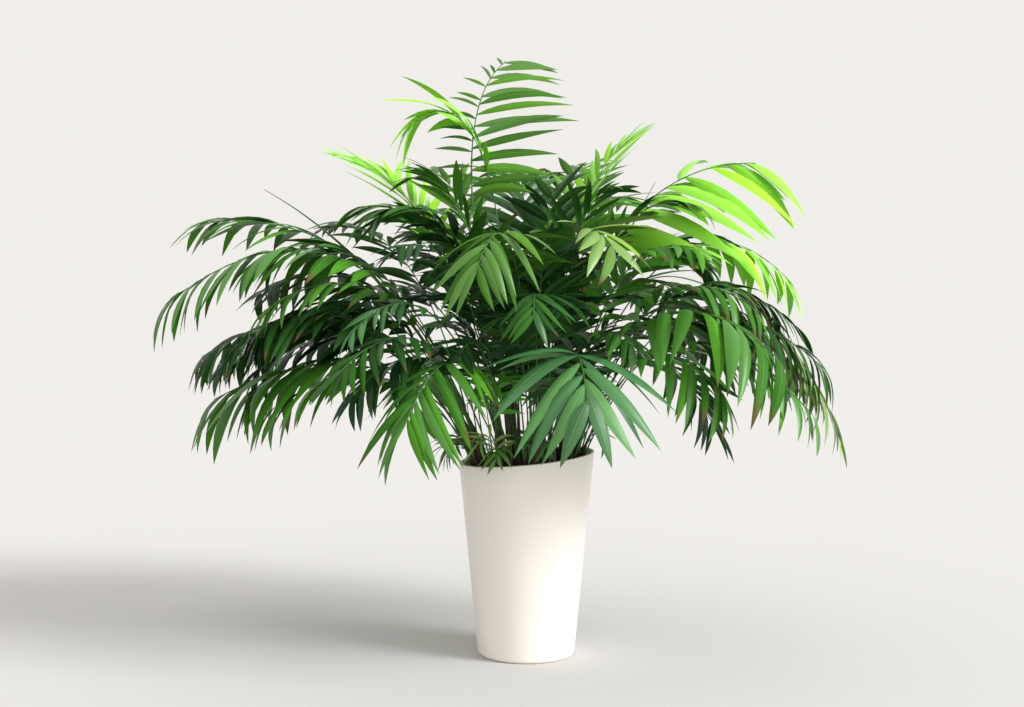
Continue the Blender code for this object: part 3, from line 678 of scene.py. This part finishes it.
def icosahedron():
    """Points at distance one and the twenty faces of an icosahedron: corners that are all near."""
    golden = (1 + math.sqrt(5)) / 2
    level = np.array([(-1, golden, 0), (1, golden, 0), (-1, -golden, 0), (1, -golden, 0)])
    points = np.concatenate([level, np.roll(level, 1, 1), np.roll(level, 2, 1)])
    near = np.isclose(np.linalg.norm(points[:, None] - points, axis=-1), 2.0)
    corners = np.array([(a, b, c) for a, b, c in combinations(range(12), 3)
                        if near[a, b] and near[b, c] and near[a, c]])
    a, b, c = points[corners].swapaxes(0, 1)
    inward = (np.cross(b - a, c - a) * a).sum(-1) < 0
    corners[inward] = corners[inward][:, ::-1]
    return unit(points), [corners]


def slab():
    """Points and the six faces of a cube from -1 to 1."""
    points = np.array([(x, y, z) for z in (-1, 1) for y in (-1, 1) for x in (-1, 1)], float)
    faces = np.array([(0, 2, 3, 1), (4, 5, 7, 6), (0, 1, 5, 4), (2, 6, 7, 3), (0, 4, 6, 2), (1, 3, 7, 5)])
    return points, [faces]


def cane_places():
    """Centre of each cane's flat top, outer ring first."""
    outer, inner = np.arange(OUTER_CANES), np.arange(INNER_CANES)
    places = np.concatenate([level_direction(360.0 / OUTER_CANES * outer) * OUTER_RING,
                             level_direction(45.0 + 90 * inner) * INNER_RING])
    places[:OUTER_CANES, 2] = OUTER_TOP + TOP_SPREAD * np.sin(2.4 * outer)
    places[OUTER_CANES:, 2] = INNER_TOP + TOP_SPREAD * np.sin(2.4 * inner)
    return places


def tube(centres, sides, normals, radii, corners, tip, hollow=0.0):
    """Closed skin of a round section carried along a path, up to a tip.

    Each ring's point at an angle is centre + radius (side cos angle + normal sin angle), drawn in
    by the hollow where the angle is near the upper side.
    """
    angle = np.linspace(0.0, 2 * np.pi, corners, endpoint=False)[:, None]
    ring = sides[:, None] * np.cos(angle) + normals[:, None] * np.sin(angle)
    inset = 1.0 - hollow * np.clip(np.sin(angle), 0, 1) ** 3
    rings = centres[:, None] + ring * radii[:, None, None] * inset
    return Shape(np.concatenate([rings.reshape(-1, 3), [tip]]), skin_faces(len(centres), corners))


def cane_shape(top, canes, number):
    """One cane: a stem closed by a low dome.

    Its radius falls evenly from foot to top, with 0.7 mm times a bell added round each leaf scar.
    """
    share = np.linspace(0.0, 1.0, 26)
    foot = np.array((CANE_FOOT * top[0], CANE_FOOT * top[1], SOIL_TOP - 0.002))
    centres = foot + share[:, None] * (top - foot)
    height = share * (top[2] - foot[2])
    scar = np.exp(-(((height + 0.003 * number) % SCAR_STEP - 0.005) / 0.0011) ** 2)
    radii = canes.foot_radius + (canes.top_radius - canes.foot_radius) * share + 0.0007 * scar
    centres = np.concatenate([centres, top + np.array((0, 0, 0.0012)) * [[1], [1.9]]])
    radii = np.concatenate([radii, canes.top_radius * np.array((0.86, 0.55))])
    level = np.ones((len(centres), 1))
    return tube(centres, level * (1.0, 0, 0), level * (0, 1.0, 0), radii, 16, top + (0, 0, 0.003))


def husk_shape(top, canes, chance):
    """Papery sheath round a cane: a thin wall whose upper edge is torn into points.

    Each ring's height is its share of the height at that angle, which is a quarter of the cane's
    and a tear more, and its centre follows the cane's lean.
    """
    steps = 28
    angle = np.linspace(0.0, 2 * np.pi, steps, endpoint=False)
    tear = chance.uniform(0.006, 0.022, steps)
    tear = 0.5 * tear + 0.25 * np.roll(tear, 1) + 0.25 * np.roll(tear, -1) + 0.004 * np.sin(angle * 3)
    out = HUSK_WALL[1] * (1 + 0.35 * chance.uniform(-1, 1, steps)) + canes.foot_radius * 0.96
    low = SOIL_TOP - 0.001 + chance.uniform(0, 0.004)
    height = low + HUSK_WALL[0] * (tear + 0.25 * (top[2] - SOIL_TOP))
    lean = np.clip((height - SOIL_TOP) / (top[2] - SOIL_TOP), 0, 1.2)
    centre = CANE_FOOT + (1 - CANE_FOOT) * lean
    points = np.stack([centre * top[0] + out * np.cos(angle), centre * top[1] + out * np.sin(angle),
                       height], -1)
    rings = len(HUSK_WALL[0])
    faces = np.concatenate([skin_faces(rings, steps)[0], band(steps, (rings - 1) * steps, 0)])
    return Shape(points.reshape(-1, 3), [faces], np.zeros(len(faces)))


class Rib:
    """A stem's line: it leaves its foot towards the knee and reaches the tip coming from the knee."""

    def __init__(self, foot, knee, tip, right):
        self.foot, self.knee, self.tip = foot, knee, tip
        self.right = right
        self.fine = np.linspace(0.0, 1.0, 401)
        runs = np.linalg.norm(np.diff(self.point(self.fine), axis=0), axis=1)
        self.passed = np.concatenate([[0.0], np.cumsum(runs)])
        self.length = self.passed[-1]

    def point(self, t):
        """Point of the bent line, (1-t)^2 foot + 2t(1-t) knee + t^2 tip."""
        t = np.asarray(t)[:, None]
        return (1 - t) ** 2 * self.foot + 2 * t * (1 - t) * self.knee + t * t * self.tip

    def at_share(self, share):
        """Parameters at which shares of the line's length are passed."""
        return np.interp(np.asarray(share) * self.length, self.passed, self.fine)

    def frames(self, share):
        """Points at shares of the length, and there the line's way, its right and its upper side."""
        t = self.at_share(share)[:, None]
        along = unit((1 - t) * (self.knee - self.foot) + t * (self.tip - self.knee))
        side = unit(self.right - along * (along @ self.right)[:, None])
        return self.point(t[:, 0]), along, side, np.cross(side, along)


def frond_rib(frond, foot, cane):
    """Line of a frond from its foot, with its knee and tip measured from the cane's axis."""
    out = level_direction(frond.azimuth)
    left = level_direction(frond.azimuth + 90.0)
    axis = np.array((cane[0], cane[1], 0.0))
    knee = axis + out * frond.reach * frond.knee + left * frond.sway + (0, 0, frond.knee_z)
    tip = axis + out * frond.reach + (0, 0, frond.tip_z)
    return Rib(foot, knee, tip, -left)


def frond_ribs(places):
    """Rib of each frond. Petioles that share a cane stand evenly round its axis, in azimuth order."""
    ribs = {}
    for number, cane in enumerate(places):
        mine = sorted((f for f in FRONDS if f.cane == number), key=lambda f: f.azimuth)
        turn = 360.0 / len(mine)
        steps = turn * np.arange(len(mine))
        mean = level_direction(np.array([f.azimuth for f in mine]) - steps).sum(0)
        start = math.degrees(math.atan2(mean[1], mean[0]))
        for frond, step in zip(mine, steps):
            foot = cane + level_direction(start + step) * FOOT_RING + (0, 0, FOOT_GAP)
            ribs[frond.name] = frond_rib(frond, foot, cane)
    return ribs


def soil_rib(frond, places, turn):
    """Line of a frond that comes out of the soil beside a cane, at a turn from its azimuth."""
    cane = places[frond.cane]
    beside = level_direction(frond.azimuth + turn) * BESIDE_CANE
    foot = np.array((SOIL_FOOT * cane[0], SOIL_FOOT * cane[1], SOIL_TOP - 0.001)) + beside
    return frond_rib(frond, foot, cane)


def stub_rib(chance):
    """Line of an old petiole: out of the soil at any place, leaning out and bent a little."""
    angle = chance.uniform(0, 360)
    out = level_direction(angle)
    foot = out * STUB_REACH * math.sqrt(chance.uniform(0.02, 1)) + (0, 0, SOIL_TOP - 0.001)
    tall = chance.choice((0.045, 0.08, 0.15)) * chance.uniform(0.7, 1.3)
    tip = foot * (1.1 + 2.2 * tall, 1.1 + 2.2 * tall, 1.0) + (0, 0, tall)
    knee = 0.5 * (foot + tip) + level_direction(chance.uniform(0, 360)) * 0.06 * tall
    return Rib(foot, knee, tip, level_direction(angle - 90.0))


def stem_shape(rib, share, radii, sheath, corners, hollow=0.0, flat=1.0):
    """A petiole's skin along its line, whose foot widens into a dry sheath that clasps the cane."""
    centres, _, side, normal = rib.frames(share)
    height = share * rib.length
    radii = radii + sheath * np.clip(1 - height / SHEATH_HEIGHT, 0, 1) ** 1.3
    side = side * np.reshape(flat, (-1, 1))
    dry = np.repeat(height[:-1] < DRY_HEIGHT, corners)
    shape = tube(centres, side, normal, radii, corners, rib.tip, hollow)
    return shape._replace(choice=np.concatenate([dry, np.zeros(corners), [1]]))


def rib_shape(rib, canes, root_shares, sheath=SHEATH, thin=1.0):
    """Petiole and rib: a grooved section carried along the line.

    The radius falls evenly from foot to tip, and a bell of a few millimetres is added at each
    leaflet's root.
    """
    share = np.concatenate([np.linspace(0, 0.12, 9)[:-1], np.linspace(0.12, 0.997, 58)])
    radii = canes.petiole_radius + (canes.tip_radius - canes.petiole_radius) * share ** 1.2
    radii = radii * thin
    if len(root_shares):
        apart = (share[:, None] - root_shares[None]) * rib.length / 0.0022
        radii = radii * (1 + 0.35 * np.exp(-apart ** 2).max(1))
    return stem_shape(rib, share, radii, sheath, 8, hollow=0.28)


def spear_shape(rib, canes):
    """Unopened frond: a petiole that swells into a long folded blade and ends in a point.

    Radius is the petiole's, less towards the point, times 1 + 0.75 sin^2 over the upper part, and
    the section is flattened there.
    """
    share = np.linspace(0.0, 0.995, 64)
    upper = np.clip((share - 0.42) / 0.58, 0, 1)
    swell = np.sin(np.pi * upper ** 0.6) ** 2
    radii = canes.petiole_radius * (1 - 0.72 * share ** 3) * (1 + 0.75 * swell)
    return stem_shape(rib, share, radii, SHEATH, 10, flat=1 - 0.45 * np.clip(upper * 3, 0, 1))


def length_share(place):
    """Length of a leaflet against the longest, by its place from the lowest pair to the tip."""
    return 0.55 + 0.45 * np.sin(np.pi * place ** 0.8)


def leaflet_shapes(frond, rib, leaves, chance):
    """Leaflets of a frond as one shape, and the shares of the rib's length at their roots.

    A leaflet's line starts from the rib at an opening angle that closes towards the tip, and its
    heading is start + bend u^0.9, where bend points down out of the blade. The half width is
    u^0.7 (1-u)^1.05 against its greatest value, and the section is a low roof: the midrib on top,
    the edges dropped by the fold, and a keel under it. The tip may twist.
    """
    spacing = leaves.spacing * leaves.slim * frond.width + leaves.gap
    pairs = max(2, round(rib.length * (1 - frond.bare) / spacing))
    number = np.tile(np.arange(pairs), 2)
    hand = np.repeat((-1.0, 1.0), pairs)[:, None]
    count = len(number)
    place = (number + 0.5) / pairs
    shares = frond.bare + (1 - frond.bare) * (place + 0.22 * hand[:, 0] / pairs)
    shares = np.clip(shares + chance.normal(0, 0.15, count) * (1 - frond.bare) / pairs, 0, 0.995)
    root, along, side, normal = rib.frames(shares)
    opening = np.radians(frond.splay - CLOSING * place + chance.normal(0, 5.0, count))[:, None]
    raised = np.where(hand[:, 0] < 0, frond.raise_left, -frond.drop_right)
    lift = 18 - 10 * place + raised + chance.normal(0, 7.0, count)
    lift = np.radians(lift)[:, None]
    size = np.where(hand[:, 0] < 0, frond.left_size, 1.0)
    length = (frond.leaf * size * length_share(place) * chance.uniform(0.92, 1.05, count))[:, None, None]
    hang = (frond.hang * chance.uniform(0.7, 1.3, count))[:, None]
    outward = side * hand * np.cos(lift) + normal * np.sin(lift)
    start = along * np.cos(opening) + outward * np.sin(opening)
    across = unit(along - start * (along * start).sum(-1, keepdims=True))
    face = np.cross(start, across)
    bend = (face * -face[:, 2:] + across * (-0.25 * across[:, 2:])) * hang
    curl = across * chance.normal(0.10, 0.10, (count, 1))

    middle = ((STATIONS[1:] + STATIONS[:-1]) / 2)[None, :, None]
    heading = unit(start[:, None] + bend[:, None] * middle ** 0.9 + curl[:, None] * (1 - 2.2 * middle))
    runs = np.cumsum(heading * np.diff(STATIONS)[None, :, None] * length, axis=1)
    centres = root[:, None] + np.concatenate([np.zeros((count, 1, 3)), runs], axis=1)
    rings = len(STATIONS) - 1
    way = unit(np.concatenate([heading[:, :1], heading[:, 1:] + heading[:, :-1]], axis=1))

    lateral = across[:, None] * hand[:, None]
    lateral = unit(lateral - way * (way * lateral).sum(-1, keepdims=True))
    upper = np.cross(way, lateral)
    twist = chance.normal(0, leaves.twist, count)[:, None, None] * STATIONS[:rings, None]
    cos, sin = np.cos(twist), np.sin(twist)
    lateral, upper = lateral * cos + upper * sin, upper * cos - lateral * sin

    u = STATIONS[:rings]
    outline = (u / WIDEST) ** 0.7 * ((1 - u) / (1 - WIDEST)) ** 1.05
    outline = np.maximum(outline, 0.16 * (1 - u))
    widest = 0.5 * leaves.slim * size * frond.width * (0.75 + 0.25 * length_share(place))
    half = (widest * chance.uniform(0.9, 1.1, count))[:, None] * outline[None]
    thick = leaves.thickness * (1 - 0.7 * u)
    drop = leaves.fold * chance.uniform(0.6, 1.4, count)[:, None, None]
    roof = -drop * (0.45 * np.abs(ACROSS) + 0.55 * ACROSS ** 2) * half[..., None]
    roof[..., 5] = -thick[None]
    points = (centres[:, :rings, None] + lateral[:, :, None] * (half[..., None] * ACROSS)[..., None]
              + upper[:, :, None] * roof[..., None])
    points = np.concatenate([points.reshape(count, -1, 3), centres[:, -1:]], axis=1)

    grain = np.stack(np.broadcast_arrays(0.5 + 0.5 * ACROSS[None], u[:, None]), -1).reshape(-1, 2)
    grain = np.tile(np.concatenate([grain, [[0.5, 1.0]]]), (count, 1))
    faces = repeated(skin_faces(rings, len(ACROSS)), count, points.shape[1])
    return Shape(points.reshape(-1, 3), faces, grain=grain), np.sort(shares)


def frond_shapes(frond, rib, canes, leaves, chance, weights, sheath=SHEATH, thin=1.0):
    """A frond's leaflets, with a shade drawn for each by the weights, and its petiole and rib."""
    blade, shares = leaflet_shapes(frond, rib, leaves, chance)
    drawn = chance.choice(len(weights), len(shares), p=weights)
    choice = np.concatenate([np.repeat(drawn, len(block) // len(shares)) for block in blade.faces])
    return blade._replace(choice=choice), rib_shape(rib, canes, shares, sheath, thin)


def leaf_materials(leaves, tint):
    """Three shades of a tint: as it is, lighter and yellower, and darker. The last two may dry."""
    colour = tuple(getattr(leaves, tint))
    lighter = (colour[0] * 1.25 + 0.006, colour[1] * 1.25, colour[2] * 1.05)
    darker = (colour[0] * 0.66, colour[1] * 0.72, colour[2] * 0.72)
    gloss = BLUE_GLOSS if tint == "blue" else LEAF_GLOSS
    dry = DRYING.get(tint, 0.0)
    return [once(f"leaf_{tint}", leaf_finish, colour, gloss),
            once(f"leaf_{tint}_light", leaf_finish, scaled(lighter, 1.0), gloss, 0.6 * dry),
            once(f"leaf_{tint}_shade", leaf_finish, darker, gloss, dry)]


def rib_materials(canes):
    """Green of petioles and ribs, and the dry brown of their sheaths."""
    green, brown = tuple(canes.petiole), tuple(canes.sheath)
    return [once("petiole", stem_finish, green, scaled(green, 0.6), 0.35),
            once("sheath", stem_finish, brown, scaled(brown, 0.4), 0.45)]


def joined(shapes):
    """Several shapes as one: their points one after another, and their faces by size of face."""
    blocks, base = {}, 0
    for shape in shapes:
        ends = np.cumsum([len(block) for block in shape.faces])[:-1]
        for block, choice in zip(shape.faces, np.split(shape.choice, ends)):
            blocks.setdefault(block.shape[1], []).append((block + base, choice))
        base += len(shape.points)
    faces, choices = zip(*(map(np.concatenate, zip(*block)) for block in blocks.values()))
    grain = None if shapes[0].grain is None else np.concatenate([shape.grain for shape in shapes])
    return Shape(np.concatenate([shape.points for shape in shapes]), faces, np.concatenate(choices), grain)


class PALM_OT_pot(bpy.types.Operator):
    """Build the white pot"""
    bl_idname = "palm.pot"
    bl_label = "Pot"

    def execute(self, context):
        pot = context.scene.palm_pot
        add_piece("white_pot", pot_shape(pot), [glaze_finish(tuple(pot.glaze))], ["pot"])
        return {"FINISHED"}


class PALM_OT_soil(bpy.types.Operator):
    """Build the soil with its crumbs and bark chips"""
    bl_idname = "palm.soil"
    bl_label = "Soil"

    def execute(self, context):
        pot = context.scene.palm_pot
        chance = np.random.default_rng(11)
        dark = once("soil", soil_finish, tuple(pot.soil), 260.0)
        bark = once("bark_chip", soil_finish, tuple(pot.bark), 190.0)
        add_piece("potting_soil", soil_shape(pot, chance), [dark], ["soil"], sharp=60.0)
        reach = pot_radius(pot, SOIL_TOP) - pot.wall - 0.004
        crumbs = scattered(*icosahedron(), CRUMBS, CRUMB_SIZE, 0.8, reach, chance)
        add_piece("soil_crumbs", crumbs, [dark], sharp=30.0)
        chips = scattered(*slab(), CHIPS, CHIP_SIZE, 0.28, reach - 0.003, chance)
        add_piece("bark_chips", chips, [bark], sharp=30.0)
        return {"FINISHED"}


class PALM_OT_canes(bpy.types.Operator):
    """Build the ringed canes and the torn husks round them"""
    bl_idname = "palm.canes"
    bl_label = "Canes"

    def execute(self, context):
        canes = context.scene.palm_canes
        chance = np.random.default_rng(23)
        green, brown = tuple(canes.green), tuple(canes.sheath)
        stem = once("cane", stem_finish, green, scaled(brown, 0.8), 0.5)
        husk = once("husk", stem_finish, brown, scaled(brown, 0.35), 0.5)
        husks = []
        for number, top in enumerate(cane_places()):
            name = f"cane_{number + 1:02d}"
            add_piece(f"{name}_stem", cane_shape(top, canes, number), [stem], [name])
            husks.append(husk_shape(top, canes, chance))
        add_piece("cane_husks", joined(husks), [husk])
        return {"FINISHED"}


class PALM_OT_fronds(bpy.types.Operator):
    """Build every open frond: its leaflets, and its petiole and rib"""
    bl_idname = "palm.fronds"
    bl_label = "Fronds"

    def execute(self, context):
        canes, leaves = context.scene.palm_canes, context.scene.palm_leaves
        ribs = frond_ribs(cane_places())
        for number, frond in enumerate(f for f in FRONDS if f.leaf):
            chance = np.random.default_rng([31, number])
            blade, rib = frond_shapes(frond, ribs[frond.name], canes, leaves, chance, OPEN_SHADES)
            add_piece(f"{frond.name}_leaflets", blade, leaf_materials(leaves, frond.tint),
                      [frond.name])
            add_piece(f"{frond.name}_rib", rib, rib_materials(canes), [frond.name])
        return {"FINISHED"}


class PALM_OT_inner(bpy.types.Operator):
    """Build the fronds that fill the crown, those of a tint as one piece"""
    bl_idname = "palm.inner"
    bl_label = "Inner fronds"

    def execute(self, context):
        canes, leaves = context.scene.palm_canes, context.scene.palm_leaves
        places = cane_places()
        ribs = []
        for tint, rows in INNER.items():
            blades = []
            for number, *row in rows:
                frond = Frond("inner", tint, *row)
                line = soil_rib(frond, places, 50.0 * (-1) ** number + 10.0 * (number % 5))
                chance = np.random.default_rng([37, number])
                blade, rib = frond_shapes(frond, line, canes, leaves, chance, INNER_SHADES,
                                          SMALL_SHEATH, thin=0.85)
                blades.append(blade)
                ribs.append(rib)
            add_piece(f"inner_leaflets_{tint}", joined(blades), leaf_materials(leaves, tint))
        add_piece("inner_ribs", joined(ribs), rib_materials(canes))
        return {"FINISHED"}


class PALM_OT_spears(bpy.types.Operator):
    """Build the unopened fronds"""
    bl_idname = "palm.spears"
    bl_label = "Spears"

    def execute(self, context):
        canes = context.scene.palm_canes
        ribs = frond_ribs(cane_places())
        for frond in (f for f in FRONDS if not f.leaf):
            add_piece(f"{frond.name}_blade", spear_shape(ribs[frond.name], canes), rib_materials(canes),
                      [frond.name])
        return {"FINISHED"}


class PALM_OT_young(bpy.types.Operator):
    """Build the small fronds and dry stubs at the pot's mouth"""
    bl_idname = "palm.young"
    bl_label = "Young fronds and stubs"

    def execute(self, context):
        canes, leaves = context.scene.palm_canes, context.scene.palm_leaves
        places = cane_places()
        chance = np.random.default_rng(47)
        tints = list(dict.fromkeys(frond.tint for frond in YOUNG))
        ribs, blades = [], []
        for _ in range(STUBS):
            stub = rib_shape(stub_rib(chance), canes, (), STUB_SHEATH, chance.uniform(0.6, 1.1))
            ribs.append(stub._replace(choice=np.full_like(stub.choice, chance.uniform() < 0.5)))
        for frond in YOUNG:
            line = soil_rib(frond, places, 60.0)
            blade, shares = leaflet_shapes(frond, line, leaves, chance)
            count = sum(len(block) for block in blade.faces)
            blades.append(blade._replace(choice=np.full(count, tints.index(frond.tint))))
            ribs.append(rib_shape(line, canes, shares, SMALL_SHEATH, thin=0.55))
        add_piece("young_leaflets", joined(blades), [leaf_materials(leaves, tint)[0] for tint in tints])
        add_piece("young_ribs", joined(ribs), rib_materials(canes))
        return {"FINISHED"}


class PALM_OT_studio(bpy.types.Operator):
    """Build the floor, the lights and the camera"""
    bl_idname = "palm.studio"
    bl_label = "Studio"

    def execute(self, context):
        scene, studio = context.scene, context.scene.palm_studio
        from_suns = 0.0
        for name in ("key", "fill"):
            power, height, side, spread = (getattr(studio, f"{name}_{part}") for part in LIGHT_PARTS)
            from_suns += power * math.sin(height) / math.pi
            light = bpy.data.lights.new(name, "SUN")
            light.energy = power
            light.angle = spread
            light_piece = bpy.data.objects.new(name, light)
            light_piece.rotation_euler = (math.pi / 2 - height, 0.0, side)
            scene.collection.objects.link(light_piece)

        corners = [(x, y, 0) for x, y in ((-1, -1), (1, -1), (1, 1), (-1, 1))]
        floor = bpy.data.meshes.new("floor")
        floor.from_pydata(FLOOR_REACH * np.array(corners), [], [(0, 1, 2, 3)])
        sky = np.array(studio.air)
        floor.materials.append(floor_finish(tuple(sky / (sky + from_suns))))
        floor_piece = bpy.data.objects.new("floor", floor)
        scene.collection.objects.link(floor_piece)

        scene.world = bpy.data.worlds.new("studio_air")
        scene.world.use_nodes = True
        background = scene.world.node_tree.nodes["Background"]
        background.inputs["Color"].default_value = (*studio.air, 1.0)
        background.inputs["Strength"].default_value = 1.0

        camera = bpy.data.cameras.new("camera")
        camera.sensor_width = SENSOR
        camera.lens = SENSOR * FOCAL_PIXELS / PHOTO_WIDTH
        camera.shift_y = RISE_PIXELS / PHOTO_WIDTH
        camera_piece = bpy.data.objects.new("camera", camera)
        camera_piece.location = EYE
        camera_piece.rotation_euler = (math.pi / 2, 0.0, 0.0)
        scene.collection.objects.link(camera_piece)
        scene.camera = camera_piece
        scene.view_settings.view_transform = "Standard"
        return {"FINISHED"}


class PALM_PT_panel(bpy.types.Panel):
    """Sidebar panel with the plant's settings and pieces"""
    bl_label = "Parlour palm"
    bl_idname = "PALM_PT_panel"
    bl_space_type = "VIEW_3D"
    bl_region_type = "UI"
    bl_category = "Palm"

    def draw(self, context):
        for group in SETTINGS:
            box = self.layout.box()
            settings = getattr(context.scene, group)
            for name in type(settings).__annotations__:
                box.prop(settings, name)
        for operator in OPERATORS:
            self.layout.operator(operator.bl_idname)


SETTINGS = {
    "palm_pot": PotSettings,
    "palm_canes": CaneSettings,
    "palm_leaves": LeafSettings,
    "palm_studio": StudioSettings,
}
OPERATORS = (PALM_OT_pot, PALM_OT_soil, PALM_OT_canes, PALM_OT_fronds, PALM_OT_inner,
             PALM_OT_spears, PALM_OT_young, PALM_OT_studio)
CLASSES = (*SETTINGS.values(), *OPERATORS, PALM_PT_panel)


def register():
    for made in CLASSES:
        bpy.utils.register_class(made)
    for name, group in SETTINGS.items():
        setattr(bpy.types.Scene, name, bpy.props.PointerProperty(type=group))


def unregister():
    for name in SETTINGS:
        delattr(bpy.types.Scene, name)
    for made in reversed(CLASSES):
        bpy.utils.unregister_class(made)


def main():
    """Registers the classes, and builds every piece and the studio."""
    register()
    bpy.ops.palm.pot()
    bpy.ops.palm.soil()
    bpy.ops.palm.canes()
    bpy.ops.palm.fronds()
    bpy.ops.palm.inner()
    bpy.ops.palm.spears()
    bpy.ops.palm.young()
    bpy.ops.palm.studio()


if __name__ == "__main__":
    main()
